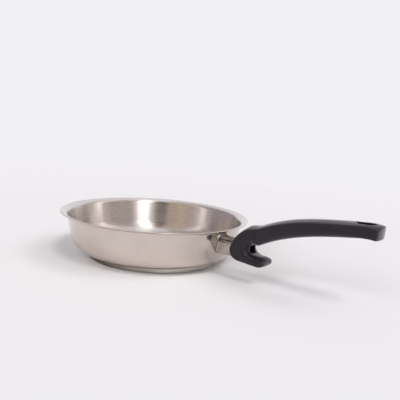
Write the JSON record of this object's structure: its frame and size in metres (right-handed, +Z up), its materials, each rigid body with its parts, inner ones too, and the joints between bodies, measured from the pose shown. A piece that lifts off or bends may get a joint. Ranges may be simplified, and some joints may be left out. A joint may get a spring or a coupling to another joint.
{
  "type": "frying pan",
  "caption": "Steel frying pan with a flared pouring lip, a thick sandwich base and an upswept black handle with a finger guard and a hanging slot.",
  "frame": {"origin": "centre of the underside of the base, on the surface that the pan stands on", "axes": "+Z up out of the bowl, +X along the handle, +Y to its left"},
  "size_m": [0.4503, 0.264, 0.1018],
  "materials": {
    "bowl_steel": "polished outside, finely brushed inside",
    "base_steel": "satin, spun",
    "core_aluminium": "bare",
    "bracket_steel": "polished",
    "inner_steel": "bare",
    "fastener_steel": "bare, bright",
    "handle_plastic": "satin moulded phenolic"
  },
  "bodies": {
    "root": {"pan_body": "bowl_steel", "base_core": "core_aluminium", "base_cap": "base_steel", "bracket_sleeve": "bracket_steel", "anchor_plate": "inner_steel", "threaded_boss": "inner_steel", "handle_screw": "fastener_steel", "spring_washer": "fastener_steel", "flat_washer": "fastener_steel", "handle_grip": "handle_plastic", "end_cap": "handle_plastic"}
  },
  "joints": []
}
